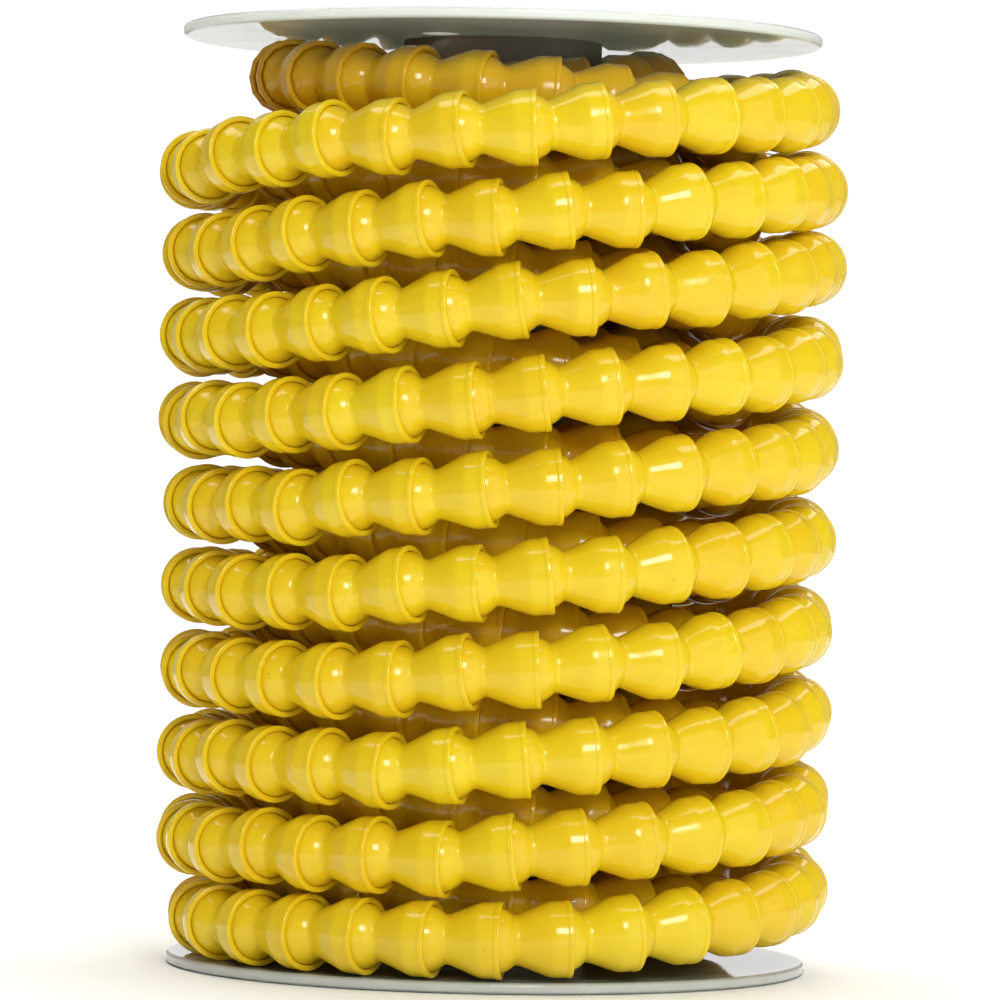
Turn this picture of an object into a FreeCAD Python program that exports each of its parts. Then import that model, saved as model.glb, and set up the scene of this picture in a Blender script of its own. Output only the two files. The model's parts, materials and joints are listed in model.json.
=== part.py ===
"""Reel of ball-and-socket modular hose: a flanged spool wound with three layers of snapped-together elements.

Frame: +Z up along the spool's axis, origin at the centre of the arbor bore on the bottom flange's outer face,
front towards -Y. Millimetres throughout. The hose runs counter-clockwise seen from above: it starts at the foot
of the core, climbs in the inner layer, comes down in the middle layer and climbs again in the outer layer.
"""
import FreeCAD, Part
import math
import os
from FreeCAD import Vector

os.makedirs("parts", exist_ok=True)

# ---- spool ----
REEL_HEIGHT = 294.0
FLANGE_D = 201.0
FLANGE_T = 3.4
FLANGE_EDGE_R = 1.2
ARBOR_D = 31.8
CORE_WALL = 2.6
SPIGOT_CLEARANCE = 0.1
SPIGOT_WALL = 2.4
SPIGOT_LENGTH = 16.0
SPIGOT_LEAD = 1.0
BOSS_WALL = 3.2
RIB_T = 2.2
RIB_COUNT = 6
START_HOLE_D = 12.0
START_HOLE_ANGLE = 30.0     # degrees from the front towards +X

# ---- one hose element, along its own x axis: ball centre at 0, socket centre at PITCH ----
PITCH = 20.5
HOSE_R = 11.75
BODY_R = 11.55              # cone's wide end, just under the rim band
BALL_R = 10.25
SOCKET_R = 10.4
BORE_R = 6.1
BALL_TIP = 7.1              # flat tip behind the ball's centre
NECK_R = 7.6
NECK_END = 8.1
CONE_ANGLE = math.radians(22.5)
SHOULDER_R = 7.3            # rounds the cone over into the straight body
BAND_W = 1.9
BAND_LEAD = 0.15
RIM_X = PITCH + 3.6
RIM_EDGE_R = 0.45
LIP_X = PITCH + 3.0         # the socket's sphere ends here, narrower than the ball
MOUTH_R = 10.3

# ---- winding ----
GAP = 0.3                   # least air between hose and flange
LAYER_STEP = 24.3           # from one layer's centre line to the next one's
OUTER_R = 93.8              # centre line of the outer layer
MIDDLE_R = OUTER_R - LAYER_STEP
INNER_R = MIDDLE_R - LAYER_STEP
CORE_R = INNER_R - HOSE_R - 2.3  # clear of the inner layer, which is wound off centre
LOW_Z = FLANGE_T + HOSE_R + GAP
HIGH_Z = REEL_HEIGHT - LOW_Z - 0.15
TURNS = 10                  # in each layer
TAIL_COUNT = 8              # loose elements at the free end, each a body of its own

# Turns are counted from the left side (-X): inner layer -20..-10, middle layer -10..0, outer layer 0..10.
INNER_FIRST = -19.876
INNER_LEVEL_FROM = -10.45
TO_MIDDLE = (-10.42, -10.04)
MIDDLE_DROP_FROM = -9.99
MIDDLE_FIRST_DROP_END = -9.625
MIDDLE_FIRST_DROP = 11.0
MIDDLE_LEVEL_FROM = -0.40
TO_OUTER = (-0.35, 0.08)
OUTER_LOW = 13.75
OUTER_CLIMB = 26.05         # one outer turn lies level, then climbs this far on to the next
CLIMB_FROM = (0.235, 0.10, 0.05)  # where in a turn the climb starts: lowest, eighth and topmost turn
CLIMB_TO = (0.79, 0.50, 0.56)  # and where it ends
OUTER_LAST = 9.80
LOOSER = 1.6                # the upper turns of the outer layer are wound this much wider
LOOSER_FROM = (5.0, 6.0)
WOUND_OFF = 1.7             # the winding lies this far towards +X of the core
TOP_OFF = -2.6              # and the topmost turn this much less
WANDER = 0.6                # how far elements of the outer layer stray from the even line


def ramp(turn, start, end):
    """0 before start, 1 after end, straight between."""
    return min(max((turn - start) / (end - start), 0.0), 1.0)


def by_turn(values, whole):
    """Straight between the values of the lowest, eighth and topmost outer turns."""
    lowest, eighth, topmost = values
    return lowest + (eighth - lowest) * ramp(whole, 0, 7) + (topmost - eighth) * ramp(whole, 7, 9)


def layer_radius(turn):
    out_to_middle = LAYER_STEP * ramp(turn, *TO_MIDDLE)
    out_to_outer = LAYER_STEP * ramp(turn, *TO_OUTER)
    return INNER_R + out_to_middle + out_to_outer


def layer_height(turn):
    if turn < INNER_LEVEL_FROM:
        return LOW_Z + (HIGH_Z - LOW_Z) * ramp(turn, INNER_FIRST, INNER_LEVEL_FROM)
    if turn < MIDDLE_LEVEL_FROM:
        first = MIDDLE_FIRST_DROP * ramp(turn, MIDDLE_DROP_FROM, MIDDLE_FIRST_DROP_END)
        rest = HIGH_Z - LOW_Z - MIDDLE_FIRST_DROP
        return HIGH_Z - first - rest * ramp(turn, MIDDLE_FIRST_DROP_END, MIDDLE_LEVEL_FROM)
    whole = math.floor(turn)
    climb = ramp(turn - whole, by_turn(CLIMB_FROM, whole), by_turn(CLIMB_TO, whole))
    return max(OUTER_LOW + OUTER_CLIMB * (whole + climb), LOW_Z)


def wander(index, turn):
    """(radial, upward) stray of one element; none in the hidden layers or the outer one's level start."""
    share = WANDER * ramp(turn, 0.35, 0.8)
    out = share * (0.5 + 0.5 * math.sin(2.3 * index + 0.7))
    up = share * (0.7 * math.sin(2.9 * index) + 0.5 * math.sin(1.13 * index + 1.0))
    return out, up


def on_winding(index, turn):
    angle = 2 * math.pi * turn - math.pi
    out, up = wander(index, turn)
    r = layer_radius(turn) + LOOSER * ramp(turn, *LOOSER_FROM) + out
    off = WOUND_OFF + TOP_OFF * ramp(turn, 8.6, 9.2)
    return Vector(off + r * math.cos(angle), r * math.sin(angle), layer_height(turn) + up)


def joint_centres():
    """(turn, point) of every ball centre, each one PITCH from the last."""
    turn = INNER_FIRST
    found = [(turn, on_winding(0, turn))]
    while turn < OUTER_LAST:
        here = found[-1][1]
        low, high = turn, turn + 0.12
        for _ in range(40):
            middle = (low + high) / 2
            if (on_winding(len(found), middle) - here).Length < PITCH:
                low = middle
            else:
                high = middle
        turn = (low + high) / 2
        found.append((turn, on_winding(len(found), turn)))
    return found


def arc(start, through, end):
    return Part.Arc(start, through, end).toShape()


def line(start, end):
    return Part.LineSegment(start, end).toShape()


def element():
    """One hose element: ball, neck, cone and socket round a straight bore, turned about x."""
    tip_r = math.sqrt(BALL_R**2 - BALL_TIP**2)
    neck_start = math.sqrt(BALL_R**2 - NECK_R**2)
    shoulder_r = BODY_R - SHOULDER_R * (1 - math.cos(CONE_ANGLE))
    shoulder_x = NECK_END + (shoulder_r - NECK_R) / math.tan(CONE_ANGLE)
    body_x = shoulder_x + SHOULDER_R * math.sin(CONE_ANGLE)
    band_x = RIM_X - BAND_W
    lip_r = math.sqrt(SOCKET_R**2 - (LIP_X - PITCH) ** 2)
    socket_back = PITCH - math.sqrt(SOCKET_R**2 - BORE_R**2)
    shoulder_middle = Vector(
        body_x - SHOULDER_R * math.sin(CONE_ANGLE / 2),
        BODY_R - SHOULDER_R * (1 - math.cos(CONE_ANGLE / 2)),
    )
    edge_turn = RIM_EDGE_R * (1 - math.sqrt(0.5))
    edge_middle = Vector(RIM_X - edge_turn, HOSE_R - edge_turn)
    bore_tip = Vector(-BALL_TIP, BORE_R)
    ball_tip = Vector(-BALL_TIP, tip_r)
    ball_neck = Vector(neck_start, NECK_R)
    neck_cone = Vector(NECK_END, NECK_R)
    cone_shoulder = Vector(shoulder_x, shoulder_r)
    shoulder_body = Vector(body_x, BODY_R)
    body_band = Vector(band_x, BODY_R)
    band_start = Vector(band_x + BAND_LEAD, HOSE_R)
    band_end = Vector(RIM_X - RIM_EDGE_R, HOSE_R)
    rim_out = Vector(RIM_X, HOSE_R - RIM_EDGE_R)
    rim_in = Vector(RIM_X, MOUTH_R)
    lip = Vector(LIP_X, lip_r)
    socket_top = Vector(PITCH, SOCKET_R)
    socket_bore = Vector(socket_back, BORE_R)
    edges = [
        line(bore_tip, ball_tip),
        arc(ball_tip, Vector(0, BALL_R), ball_neck),
        line(ball_neck, neck_cone),
        line(neck_cone, cone_shoulder),
        arc(cone_shoulder, shoulder_middle, shoulder_body),
        line(shoulder_body, body_band),
        line(body_band, band_start),
        line(band_start, band_end),
        arc(band_end, edge_middle, rim_out),
        line(rim_out, rim_in),
        line(rim_in, lip),
        arc(lip, socket_top, socket_bore),
        line(socket_bore, bore_tip),
    ]
    section = Part.Face(Part.Wire(edges))
    return section.revolve(Vector(0, 0, 0), Vector(1, 0, 0), 360)


def placed(piece, start, end):
    """A copy of piece with its origin at start and its x axis towards end."""
    copy = piece.copy()
    copy.Placement = FreeCAD.Placement(start, FreeCAD.Rotation(Vector(1, 0, 0), end - start))
    return copy


def flange():
    """Bottom flange, outer face down at z = 0, with the spigot that holds the core and the arbor's boss."""
    disc = Part.makeCylinder(FLANGE_D / 2, FLANGE_T)
    disc = disc.makeFillet(FLANGE_EDGE_R, [e for e in disc.Edges if e.Length > 1.5 * FLANGE_D])
    spigot_r = CORE_R - CORE_WALL - SPIGOT_CLEARANCE
    top = FLANGE_T + SPIGOT_LENGTH
    base = Vector(0, 0, FLANGE_T / 2)
    spigot = Part.makeCylinder(spigot_r, top - FLANGE_T / 2, base)
    spigot = spigot.makeChamfer(SPIGOT_LEAD, [e for e in spigot.Edges if e.BoundBox.ZMin > top - 0.1])
    spigot = spigot.cut(Part.makeCylinder(spigot_r - SPIGOT_WALL, top, base))
    boss = Part.makeCylinder(ARBOR_D / 2 + BOSS_WALL, top - FLANGE_T / 2, base)
    body = disc.fuse([spigot, boss])
    rib_height = SPIGOT_LENGTH * 0.7 + FLANGE_T / 2
    for i in range(RIB_COUNT):
        rib = Part.makeBox(spigot_r - 1.0, RIB_T, rib_height, Vector(0, -RIB_T / 2, FLANGE_T / 2))
        rib.rotate(Vector(0, 0, 0), Vector(0, 0, 1), 360 / RIB_COUNT * i)
        body = body.fuse(rib)
    body = body.cut(Part.makeCylinder(ARBOR_D / 2, top + 2, Vector(0, 0, -1)))
    hole_r = CORE_R + 1.5 + START_HOLE_D / 2
    hole_angle = math.radians(START_HOLE_ANGLE)
    hole_at = Vector(hole_r * math.sin(hole_angle), -hole_r * math.cos(hole_angle), -1)
    body = body.cut(Part.makeCylinder(START_HOLE_D / 2, FLANGE_T + 2, hole_at))
    return body.removeSplitter()


def core_tube():
    length = REEL_HEIGHT - 2 * FLANGE_T
    base = Vector(0, 0, FLANGE_T)
    outside = Part.makeCylinder(CORE_R, length, base)
    return outside.cut(Part.makeCylinder(CORE_R - CORE_WALL, length, base))


def flipped(shape):
    """The same moulding turned over onto the top of the reel."""
    turned = shape.copy()
    turned.rotate(Vector(0, 0, REEL_HEIGHT / 2), Vector(0, 1, 0), 180)
    return turned


def hose_nodes():
    """{node name: element solids}: a node for each turn of each layer, and one for each loose end element."""
    centres = joint_centres()
    one = element()
    spans = list(zip(centres[:-1], centres[1:]))
    wound = spans[:-TAIL_COUNT]
    nodes = {}
    for (turn, start), (_, end) in wound:
        if turn < INNER_FIRST + TURNS:
            name = "inner_turn_%02d" % min(int(turn - INNER_FIRST) + 1, TURNS)
        elif turn < 0:
            name = "middle_turn_%02d" % min(int(turn + TURNS) + 1, TURNS)
        else:
            name = "outer_turn_%02d" % min(int(turn) + 1, TURNS)
        nodes.setdefault(name, []).append(placed(one, start, end))
    for i, ((_, start), (_, end)) in enumerate(spans[-TAIL_COUNT:]):
        nodes["tail_element_%d" % (i + 1)] = [placed(one, start, end)]
    return nodes


def export(name, solids):
    Part.makeCompound(solids).exportStep("parts/%s.step" % name)


if __name__ == "__main__":
    bottom = flange()
    export("bottom_flange", [bottom])
    export("top_flange", [flipped(bottom)])
    export("core_tube", [core_tube()])
    for node_name, elements in hose_nodes().items():
        export(node_name, elements)
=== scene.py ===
"""Looks for the reel of modular ball-and-socket hose: metres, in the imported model's frame.

Hose elements are turned from an outline in millimetres and put where the CAD model's elements are.
"""
import json
import math

import bpy
import numpy as np
from mathutils import Matrix, Vector


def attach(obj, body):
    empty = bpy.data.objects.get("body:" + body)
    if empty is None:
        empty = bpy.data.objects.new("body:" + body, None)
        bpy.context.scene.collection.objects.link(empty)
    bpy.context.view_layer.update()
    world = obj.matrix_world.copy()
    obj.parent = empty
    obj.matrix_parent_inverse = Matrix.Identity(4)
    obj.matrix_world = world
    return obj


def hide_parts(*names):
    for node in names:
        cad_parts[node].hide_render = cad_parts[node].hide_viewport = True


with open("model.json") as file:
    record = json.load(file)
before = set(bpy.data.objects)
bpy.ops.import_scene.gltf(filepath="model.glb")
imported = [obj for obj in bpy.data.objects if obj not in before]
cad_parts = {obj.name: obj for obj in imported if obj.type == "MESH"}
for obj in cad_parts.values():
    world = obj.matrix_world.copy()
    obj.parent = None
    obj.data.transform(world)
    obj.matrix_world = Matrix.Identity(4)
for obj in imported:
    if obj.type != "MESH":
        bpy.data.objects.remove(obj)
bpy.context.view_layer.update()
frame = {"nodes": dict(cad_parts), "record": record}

MM = 0.001

# ---- one hose element, along its own x axis (mm): ball centre at 0, socket centre at PITCH ----
PITCH = 20.5
HOSE_R = 11.75
BODY_R = 11.55
BALL_R = 10.25
SOCKET_R = 10.4
BORE_R = 6.1
BALL_TIP = 7.1
TIP_EDGE = 0.25
NECK_R = 7.6
NECK_END = 8.1
NECK_FILLET = 0.45
CONE_FILLET = 0.65
CONE_ANGLE = math.radians(22.5)
SHOULDER_R = 7.3
BAND_W = 1.9
BAND_LEAD = 0.15
RIM_X = PITCH + 3.6
RIM_EDGE_R = 0.45
MOUTH_R = 10.3
MOUTH_EDGE_R = 0.2
LIP_X = PITCH + 3.0

# ---- how finely the elements are turned, by how much of them shows ----
FINE_SEGMENTS = 44
MIDDLE_SEGMENTS = 30
HIDDEN_SEGMENTS = 14
# The topmost middle turns stand clear of the outer layer, so they are turned as finely.
SEEN_MIDDLE = ("middle_turn_01", "middle_turn_02")
SHARP_ANGLE = math.radians(38)

# ---- colours ----
HOSE_YELLOW = (0.840, 0.625, 0.013)
HOSE_AMBER_TONE_AND_SHADE = (0.80, 0.40, 0.012)
# Each element's tone, from yellow at 0 to amber at 1: (least, spread). The spread is random tone. The higher
# least tone of the middle and inner layers is painted shade: the reddish bounce light in the gaps between turns,
# painted into their colour.
LAYER_TONES_AND_SHADE = {"outer": (0.0, 0.3), "tail": (0.0, 0.3), "middle": (0.45, 0.25), "inner": (0.7, 0.3)}
HOSE_SPECK = (0.16, 0.06, 0.02)
TURNING_MARKS_MM = 0.33
TURNING_MARKS_DEPTH = 0.0000012
FLANGE_FACE = ((0.34, 0.365, 0.345), (0.40, 0.425, 0.40))
# The paler edge colour is painted light, gathered at the flange rims.
FLANGE_EDGE_PAINTED_LIGHT = (0.60, 0.635, 0.605)
CORE_BOARD = ((0.30, 0.27, 0.22), (0.38, 0.34, 0.28))
FLOOR_PALE = ((0.92, 0.93, 0.94), (0.94, 0.95, 0.96))
SEED = 7

# ---- camera: level, a little above the reel's middle, through a long lens; angles in radians ----
LENS_MM = 207.0
CAMERA_DISTANCE = 1.812
CAMERA_HEIGHT = 0.158
CAMERA_YAW = 0.00106
CAMERA_PITCH = -0.00626
CAMERA_ROLL = 0.02046

# ---- stage and lights ----
REEL_MIDDLE = Vector((0, 0, 0.147))
FLOOR_RADIUS = 1.2
FLOOR_DROP = 0.0002
CARD_PLACE = (0, 20, 0.9)
CARD_SIZE = (5.2, 4.4, 1)
CARD_GLOW = 1.05
# (name, azimuth, elevation, distance, size, power, colour); azimuth 0 is the front, 90 the right.
SOFTBOXES = [
    ("key", 12, 25, 1.9, (0.55, 0.55), 13.0, (0.96, 1.0, 0.95)),
    ("fill", 42, 15, 1.9, (2.2, 2.2), 12.3, (0.96, 1.0, 0.93)),
    ("overhead", 180, 72, 2.2, (2.8, 2.8), 82.0, (1.0, 1.0, 1.0)),
]
# The room's own light, a paler band all round at eye level, then glows:
# (towards, cosine at the glow's edge, cosine at its full core, strength).
ROOM_COLOUR = (1.0, 0.95, 0.92)
ROOM_GLOW = 0.09
BAND_GLOW = 0.20
WORLD_GLOWS = [
    ((0, 1, 0), 0.80, 0.97, 0.18),
    ((0, -1, 0.1), 0.30, 0.95, 0.10),
]


# ---- camera and lights ----
def look_matrix(yaw, pitch, roll):
    """Axes of a camera that looks along +Y: its right, up and backward directions as columns."""
    turn = Matrix.Rotation(yaw, 3, "Z")
    nod = Matrix.Rotation(-pitch, 3, "X")
    lean = Matrix.Rotation(roll, 3, "Y")
    right, ahead, up = lean @ nod @ turn
    return Matrix((right, up, -ahead)).transposed()


def add_camera():
    data = bpy.data.cameras.new("camera")
    data.sensor_width = 36.0
    data.lens = LENS_MM
    data.clip_end = 100.0
    camera = bpy.data.objects.new("camera", data)
    bpy.context.scene.collection.objects.link(camera)
    rotation = look_matrix(CAMERA_YAW, CAMERA_PITCH, CAMERA_ROLL)
    place = Matrix.Translation((0, -CAMERA_DISTANCE, CAMERA_HEIGHT))
    camera.matrix_world = place @ rotation.to_4x4()
    bpy.context.scene.camera = camera


def add_softbox(name, azimuth, elevation, distance, size, power, colour):
    """An area light aimed at the reel's middle."""
    a, e = math.radians(azimuth), math.radians(elevation)
    offset = Vector((math.sin(a) * math.cos(e), -math.cos(a) * math.cos(e), math.sin(e)))
    data = bpy.data.lights.new(name, "AREA")
    data.shape = "RECTANGLE"
    data.size, data.size_y = size
    data.energy = power
    data.color = colour
    light = bpy.data.objects.new(name, data)
    light.location = REEL_MIDDLE + distance * offset
    light.rotation_euler = (-offset).to_track_quat("-Z", "Y").to_euler()
    bpy.context.scene.collection.objects.link(light)


def add_world():
    """A dim room, paler at eye level all round, with faint glows behind the reel and behind the camera."""
    world = bpy.data.worlds.new("studio")
    world.use_nodes = True
    tree = world.node_tree
    direction = tree.nodes.new("ShaderNodeTexCoord").outputs["Generated"]

    def along(towards):
        node = tree.nodes.new("ShaderNodeVectorMath")
        node.operation = "DOT_PRODUCT"
        tree.links.new(direction, node.inputs[0])
        node.inputs[1].default_value = Vector(towards).normalized()
        return node.outputs["Value"]

    def maths(operation, a, b):
        node = tree.nodes.new("ShaderNodeMath")
        node.operation = operation
        tree.links.new(a, node.inputs[0])
        if isinstance(b, bpy.types.NodeSocket):
            tree.links.new(b, node.inputs[1])
        else:
            node.inputs[1].default_value = b
        return node.outputs[0]

    def fade(value, edge, core, glow):
        node = tree.nodes.new("ShaderNodeMapRange")
        node.interpolation_type = "SMOOTHSTEP"
        tree.links.new(value, node.inputs["Value"])
        for key, number in (("From Min", edge), ("From Max", core), ("To Max", glow)):
            node.inputs[key].default_value = number
        return node.outputs["Result"]

    height = along((0, 0, 1))
    band = fade(maths("MULTIPLY", height, height), 0.20, 0.03, BAND_GLOW)
    total = maths("ADD", band, ROOM_GLOW)
    for towards, edge, core, glow in WORLD_GLOWS:
        total = maths("ADD", total, fade(along(towards), edge, core, glow))
    background = tree.nodes["Background"]
    background.inputs["Color"].default_value = (*ROOM_COLOUR, 1)
    tree.links.new(total, background.inputs["Strength"])
    bpy.context.scene.world = world


# ---- materials ----
class Nodes:
    """Short calls for building a node tree."""

    def __init__(self, name):
        self.material = bpy.data.materials.new(name)
        self.material.use_nodes = True
        self.tree = self.material.node_tree
        self.shader = self.tree.nodes["Principled BSDF"]

    def add(self, kind, **values):
        node = self.tree.nodes.new(kind)
        for key, value in values.items():
            setattr(node, key, value)
        return node

    def join(self, source, target):
        self.tree.links.new(source, target)

    def feed(self, value, socket):
        if isinstance(value, bpy.types.NodeSocket):
            self.join(value, socket)
        else:
            socket.default_value = value

    def maths(self, operation, a, b=0.0, c=0.0):
        node = self.add("ShaderNodeMath", operation=operation)
        for value, socket in zip((a, b, c), node.inputs):
            self.feed(value, socket)
        return node.outputs[0]

    def attribute(self, name):
        return self.add("ShaderNodeAttribute", attribute_name=name).outputs["Fac"]

    def noise(self, scale, detail=2.0, roughness=0.5):
        node = self.add("ShaderNodeTexNoise")
        node.inputs["Scale"].default_value = scale
        node.inputs["Detail"].default_value = detail
        node.inputs["Roughness"].default_value = roughness
        self.join(self.add("ShaderNodeTexCoord").outputs["Object"], node.inputs["Vector"])
        return node.outputs["Fac"]

    def cells(self, scale):
        """Distance to the nearest of scattered points, in cells."""
        node = self.add("ShaderNodeTexVoronoi")
        node.inputs["Scale"].default_value = scale
        self.join(self.add("ShaderNodeTexCoord").outputs["Object"], node.inputs["Vector"])
        return node.outputs["Distance"]

    def spread(self, value, low, high, to_low, to_high):
        node = self.add("ShaderNodeMapRange")
        self.feed(value, node.inputs["Value"])
        for key, number in zip(("From Min", "From Max", "To Min", "To Max"), (low, high, to_low, to_high)):
            node.inputs[key].default_value = number
        return node.outputs["Result"]

    def blend(self, factor, a, b):
        node = self.add("ShaderNodeMix", data_type="RGBA")
        self.feed(factor, node.inputs["Factor"])
        for value, socket in ((a, node.inputs[6]), (b, node.inputs[7])):
            self.feed(value if isinstance(value, bpy.types.NodeSocket) else (*value, 1), socket)
        return node.outputs[2]

    def bump(self, height, distance, strength=1.0, below=None):
        node = self.add("ShaderNodeBump")
        node.inputs["Strength"].default_value = strength
        node.inputs["Distance"].default_value = distance
        self.join(height, node.inputs["Height"])
        if below is not None:
            self.join(below, node.inputs["Normal"])
        return node.outputs["Normal"]


def hose_material():
    """Glossy moulded acetal: faint flow mottling, fine turning marks from the mould, a few specks, and painted
    shade in amber on the deeper layers.
    """
    n = Nodes("hose_acetal")
    shader = n.shader.inputs
    tone_and_shade = n.attribute("tone_and_shade")
    mottle = n.spread(n.noise(90, 3.0), 0.35, 0.7, 0.0, 1.0)
    # The amber share is partly random tone and, on the middle and inner layers, painted shade for the reddish
    # light between turns.
    mixed = n.maths("ADD", n.maths("MULTIPLY", mottle, 0.15), n.maths("MULTIPLY", tone_and_shade, 0.85))
    colour = n.blend(mixed, HOSE_YELLOW, HOSE_AMBER_TONE_AND_SHADE)
    specks = n.spread(n.cells(80), 0.016, 0.024, 0.7, 0.0)
    n.join(n.blend(specks, colour, HOSE_SPECK), shader["Base Color"])
    n.join(n.spread(n.noise(260, 3.0), 0.3, 0.7, 0.10, 0.17), shader["Roughness"])
    marks = n.maths("SINE", n.maths("MULTIPLY", n.attribute("along"), 2 * math.pi / TURNING_MARKS_MM))
    waves = n.bump(n.noise(140, 1.0), 0.00008)
    n.join(n.bump(marks, TURNING_MARKS_DEPTH, below=waves), shader["Normal"])
    shader["IOR"].default_value = 1.48
    shader["Subsurface Weight"].default_value = 0.08
    shader["Subsurface Radius"].default_value = (0.0030, 0.0020, 0.0004)
    shader["Subsurface Scale"].default_value = 1.0
    return n.material


def flange_material():
    """Milky translucent plastic, smooth, with light scuffs; its edges are painted paler, as painted light for
    the light that the sheet gathers at its rims.
    """
    n = Nodes("flange_milky")
    shader = n.shader.inputs
    cloud = n.spread(n.noise(24, 4.0), 0.3, 0.7, 0.0, 1.0)
    face = n.blend(cloud, *FLANGE_FACE)
    normal = n.add("ShaderNodeSeparateXYZ")
    n.join(n.add("ShaderNodeTexCoord").outputs["Normal"], normal.inputs[0])
    # Painted light: faces standing edge-on, by their normal, take the paler edge colour; the broad faces keep
    # the face colour.
    edge = n.spread(n.maths("ABSOLUTE", normal.outputs["Z"]), 0.25, 0.8, 1.0, 0.0)
    n.join(n.blend(edge, face, FLANGE_EDGE_PAINTED_LIGHT), shader["Base Color"])
    n.join(n.spread(n.noise(70, 5.0, 0.65), 0.35, 0.7, 0.03, 0.07), shader["Roughness"])
    n.join(n.bump(n.noise(38, 1.0), 0.00004), shader["Normal"])
    shader["IOR"].default_value = 1.45
    shader["Subsurface Weight"].default_value = 0.85
    shader["Subsurface Radius"].default_value = (0.015, 0.015, 0.013)
    shader["Subsurface Scale"].default_value = 1.0
    return n.material


def core_material():
    """Matt fibrous tube."""
    n = Nodes("core_matt")
    shader = n.shader.inputs
    fibre = n.spread(n.noise(55, 6.0, 0.7), 0.3, 0.7, 0.0, 1.0)
    n.join(n.blend(fibre, *CORE_BOARD), shader["Base Color"])
    shader["Roughness"].default_value = 0.65
    n.join(n.bump(n.noise(300, 4.0), 0.0001), shader["Normal"])
    return n.material


def floor_material():
    """Plain pale floor, barely clouded."""
    n = Nodes("floor_pale")
    shader = n.shader.inputs
    shade = n.spread(n.noise(3.0, 3.0), 0.3, 0.7, 0.0, 1.0)
    n.join(n.blend(shade, *FLOOR_PALE), shader["Base Color"])
    shader["Roughness"].default_value = 0.8
    return n.material


# ---- hose elements ----
def arc_points(centre_x, centre_r, radius, start, end, steps):
    """Points of an arc in the (x, r) plane; angles in degrees, 0 towards +x and 90 away from the axis."""
    angles = np.radians(np.linspace(start, end, steps + 1))
    return [(centre_x + radius * math.cos(a), centre_r + radius * math.sin(a)) for a in angles]


def fillet_points(before, corner, after, reach, steps):
    """A smooth round over corner, from reach before it to reach after it."""
    corner_v = np.array(corner)
    start = corner_v + reach * unit(np.array(before) - corner_v)
    end = corner_v + reach * unit(np.array(after) - corner_v)
    spots = []
    for t in np.linspace(0, 1, steps + 1):
        spots.append(tuple((1 - t) ** 2 * start + 2 * t * (1 - t) * corner_v + t**2 * end))
    return spots


def unit(v):
    return v / np.linalg.norm(v)


def element_profile(detail):
    """Closed outline (x, r) of one element's wall: from the ball's tip round the outside, back down the bore."""
    cone_angle = math.degrees(CONE_ANGLE)
    shoulder_r = BODY_R - SHOULDER_R * (1 - math.cos(CONE_ANGLE))
    shoulder_x = NECK_END + (shoulder_r - NECK_R) / math.tan(CONE_ANGLE)
    body_x = shoulder_x + SHOULDER_R * math.sin(CONE_ANGLE)
    band_x = RIM_X - BAND_W
    neck_start = math.sqrt(BALL_R**2 - NECK_R**2)
    tip_angle = 180 - math.degrees(math.acos(BALL_TIP / BALL_R))
    neck_angle = math.degrees(math.asin(NECK_R / BALL_R))
    lip_r = math.sqrt(SOCKET_R**2 - (LIP_X - PITCH) ** 2)
    lip_angle = math.degrees(math.atan2(lip_r, LIP_X - PITCH))
    bore_angle = 180 - math.degrees(math.asin(BORE_R / SOCKET_R))
    tip_r = BALL_R * math.sin(math.radians(tip_angle))
    outline = [(-BALL_TIP, BORE_R), (-BALL_TIP, tip_r - TIP_EDGE)]
    outline += arc_points(0, 0, BALL_R, tip_angle - 2, 86, 3 * detail)
    outline += arc_points(0, 0, BALL_R, 86, neck_angle + 3, 4 * detail)[1:]
    ball_side = arc_points(0, 0, BALL_R, neck_angle + 6, neck_angle, 1)[0]
    neck, cone, shoulder = (neck_start, NECK_R), (NECK_END, NECK_R), (shoulder_x, shoulder_r)
    outline += fillet_points(ball_side, neck, cone, NECK_FILLET, detail + 1)
    outline += fillet_points(neck, cone, shoulder, CONE_FILLET, detail + 1)
    outline += [((NECK_END + shoulder_x) / 2, (NECK_R + shoulder_r) / 2)]
    outline += arc_points(body_x, BODY_R - SHOULDER_R, SHOULDER_R, 90 + cone_angle, 90, 2 * detail)
    outline += [(band_x - 0.05, BODY_R)]
    outline += [(band_x + BAND_LEAD, HOSE_R - 0.03), (band_x + BAND_LEAD + 0.12, HOSE_R)]
    outline += arc_points(RIM_X - RIM_EDGE_R, HOSE_R - RIM_EDGE_R, RIM_EDGE_R, 90, 0, 2 * detail)
    outline += fillet_points((RIM_X, HOSE_R), (RIM_X, MOUTH_R), (LIP_X, lip_r), MOUTH_EDGE_R, 2)
    outline += arc_points(PITCH, 0, SOCKET_R, lip_angle, bore_angle, 2 * detail + 1)
    return outline


def turned_mesh(outline, segments):
    """(vertices in the element's own frame, quads, distance along the element of each vertex), in mm."""
    x, r = np.array(outline).T
    around = np.arange(segments) * 2 * math.pi / segments
    rows = len(x)
    points = np.empty((rows, segments, 3))
    points[..., 0] = x[:, None]
    points[..., 1] = r[:, None] * np.cos(around)
    points[..., 2] = r[:, None] * np.sin(around)
    index = np.arange(rows * segments).reshape(rows, segments)
    below = np.roll(index, -1, axis=0)
    quads = np.stack([index, np.roll(index, -1, axis=1), np.roll(below, -1, axis=1), below], axis=-1)
    return points.reshape(-1, 3), quads.reshape(-1, 4), np.repeat(x, segments)


def islands(triangles, count):
    """A label for each vertex, the same for all vertices that triangles join."""
    label = np.arange(count)
    while True:
        least = label[triangles].min(axis=1)
        new = label.copy()
        np.minimum.at(new, triangles.ravel(), np.repeat(least, 3))
        new = new[new]
        if (new == label).all():
            return label
        label = new


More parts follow.
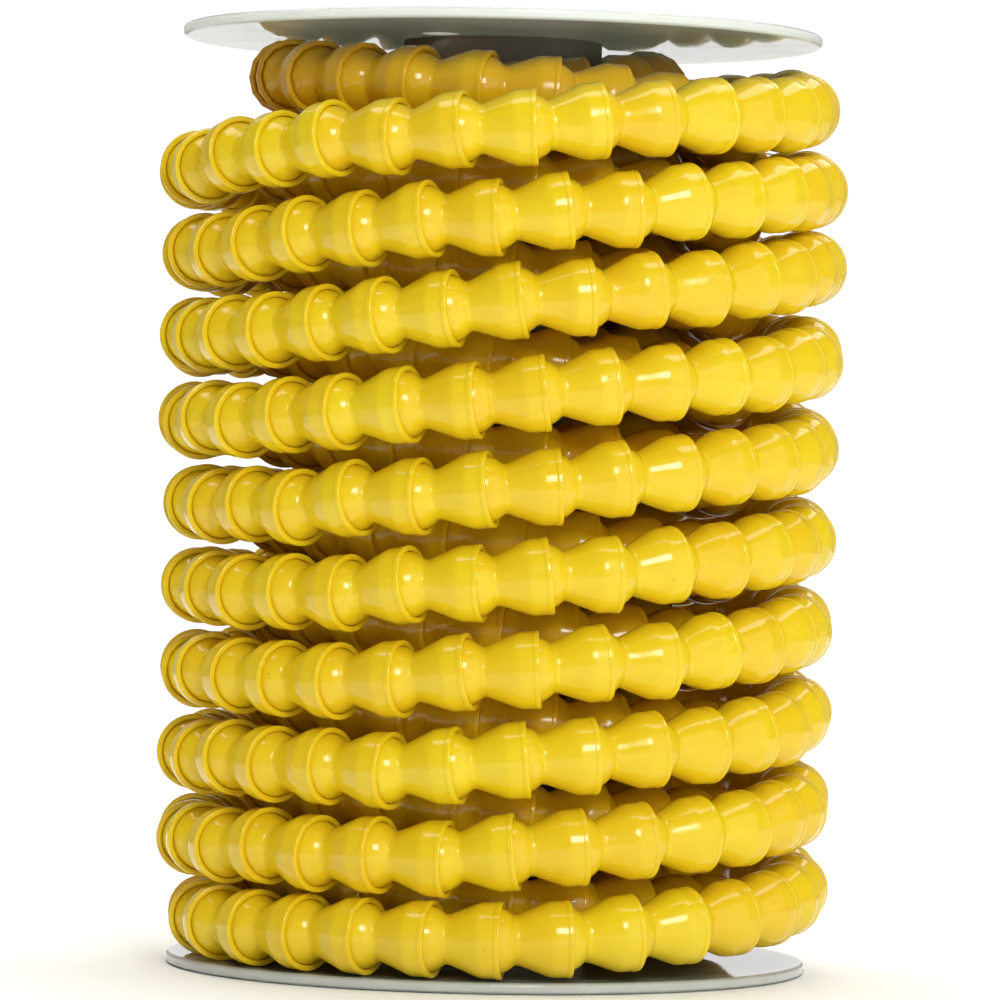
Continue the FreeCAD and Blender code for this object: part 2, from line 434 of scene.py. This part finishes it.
def element_places(node):
    """[(ball centre, axis)] of each solid in a CAD node of hose elements, in metres."""
    mesh = frame["nodes"][node].data
    mesh.calc_loop_triangles()
    points = np.empty(len(mesh.vertices) * 3, np.float32)
    mesh.vertices.foreach_get("co", points)
    points = points.reshape(-1, 3).astype(float)
    triangles = np.empty(len(mesh.loop_triangles) * 3, np.int32)
    mesh.loop_triangles.foreach_get("vertices", triangles)
    _, welded = np.unique(np.round(points / 1e-7).astype(np.int64), axis=0, return_inverse=True)
    welded = welded.ravel()
    spots = np.empty((welded.max() + 1, 3))
    spots[welded] = points
    corners = welded[triangles].reshape(-1, 3)
    label = islands(corners, len(spots))[corners[:, 0]]
    return [element_axis(spots[corners[label == one]]) for one in np.unique(label)]


def element_axis(faces):
    """Ball centre and axis of one element, from its triangles. The flat tip and rim give the axis exactly."""
    normals = np.cross(faces[:, 1] - faces[:, 0], faces[:, 2] - faces[:, 0])
    areas = np.linalg.norm(normals, axis=1)
    faces, normals, areas = faces[areas > 0], normals[areas > 0], areas[areas > 0]
    middles = faces.mean(axis=1)
    centre = np.average(middles, axis=0, weights=areas)
    spreads, directions = np.linalg.eigh(np.cov((middles - centre).T, aweights=areas))
    odd = 2 if spreads[2] - spreads[1] > spreads[1] - spreads[0] else 0
    axis = directions[:, odd]
    for closeness in (0.998, 0.9998):
        facing = normals @ axis / areas
        flat = np.abs(facing) > closeness
        axis = unit((normals[flat] * np.sign(facing[flat])[:, None]).sum(axis=0))
    along = (faces - centre) @ axis
    start_width = wide(faces, centre, axis, along < along.min() + MM)
    end_width = wide(faces, centre, axis, along > along.max() - MM)
    if start_width > end_width:
        axis, along = -axis, -along
    return centre + (along.min() + BALL_TIP * MM) * axis, axis


def wide(faces, centre, axis, chosen):
    """Greatest distance of the chosen corners from the axis."""
    return np.linalg.norm(np.cross(faces[chosen] - centre, axis), axis=1).max()


def hose_mesh(name, places, template, tones_and_shade):
    """One mesh of every element of a turn, each with its own tone: random tone, plus painted shade on the deeper
    layers.
    """
    vertices, quads, along = template
    all_points, all_quads = [], []
    for i, (centre, axis) in enumerate(places):
        side = unit(np.cross((0, 0, 1), axis))
        rise = np.cross(axis, side)
        all_points.append(centre + MM * vertices @ np.array([axis, side, rise]))
        all_quads.append(quads + i * len(vertices))
    points, faces = np.vstack(all_points), np.vstack(all_quads)
    mesh = bpy.data.meshes.new(name)
    mesh.vertices.add(len(points))
    mesh.vertices.foreach_set("co", points.ravel())
    mesh.loops.add(faces.size)
    mesh.loops.foreach_set("vertex_index", faces.ravel().astype(np.int32))
    mesh.polygons.add(len(faces))
    mesh.polygons.foreach_set("loop_start", np.arange(0, faces.size, 4, dtype=np.int32))
    mesh.update(calc_edges=True)
    mesh.polygons.foreach_set("use_smooth", np.ones(len(faces), bool))
    mesh.set_sharp_from_angle(angle=SHARP_ANGLE)
    for key, values in (("tone_and_shade", np.repeat(tones_and_shade, len(vertices))), ("along", np.tile(along, len(places)))):
        attribute = mesh.attributes.new(key, "FLOAT", "POINT")
        attribute.data.foreach_set("value", values.astype(np.float32))
    return mesh


def add_hose(material):
    """A finely turned piece in place of every hose node."""
    random = np.random.default_rng(SEED)
    fine = turned_mesh(element_profile(2), FINE_SEGMENTS)
    templates = {
        "outer": fine,
        "tail": fine,
        "middle": turned_mesh(element_profile(1), MIDDLE_SEGMENTS),
        "inner": turned_mesh(element_profile(1), HIDDEN_SEGMENTS),
    }
    body_of = {n: b for b, members in frame["record"]["behaviour"]["bodies"].items() for n in members}
    for node in sorted(frame["nodes"]):
        layer = node.split("_")[0]
        if layer not in templates:
            continue
        name = "hose_" + node
        places = element_places(node)
        # Middle and inner layers start further towards amber: painted shade, not a different hose colour.
        least, spread = LAYER_TONES_AND_SHADE[layer]
        template = fine if node in SEEN_MIDDLE else templates[layer]
        mesh = hose_mesh(name, places, template, least + spread * random.random(len(places)))
        mesh.materials.append(material)
        piece = bpy.data.objects.new(name, mesh)
        bpy.context.scene.collection.objects.link(piece)
        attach(piece, body_of[node])
        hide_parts(node)


# ---- spool and stage ----
def dress(node, material):
    """Gives a CAD node its material."""
    mesh = frame["nodes"][node].data
    mesh.materials.clear()
    mesh.materials.append(material)


def add_backdrop():
    """A white card far behind the reel, just wide and high enough for the camera's view."""
    n = Nodes("backdrop_white")
    glow = n.add("ShaderNodeEmission")
    glow.inputs["Strength"].default_value = CARD_GLOW
    n.join(glow.outputs[0], n.tree.nodes["Material Output"].inputs["Surface"])
    bpy.ops.mesh.primitive_plane_add(size=1, location=CARD_PLACE, rotation=(math.pi / 2, 0, 0))
    card = bpy.context.object
    card.name = "backdrop"
    card.scale = CARD_SIZE
    card.data.materials.append(n.material)


def add_floor():
    place = (0, 0, -FLOOR_DROP)
    bpy.ops.mesh.primitive_circle_add(vertices=96, radius=FLOOR_RADIUS, fill_type="NGON", location=place)
    floor = bpy.context.object
    floor.name = "floor"
    floor.data.materials.append(floor_material())


add_camera()
add_world()
for softbox in SOFTBOXES:
    add_softbox(*softbox)
add_backdrop()
add_floor()
add_hose(hose_material())
flange = flange_material()
dress("bottom_flange", flange)
dress("top_flange", flange)
dress("core_tube", core_material())
bpy.context.scene.view_settings.view_transform = "Standard"
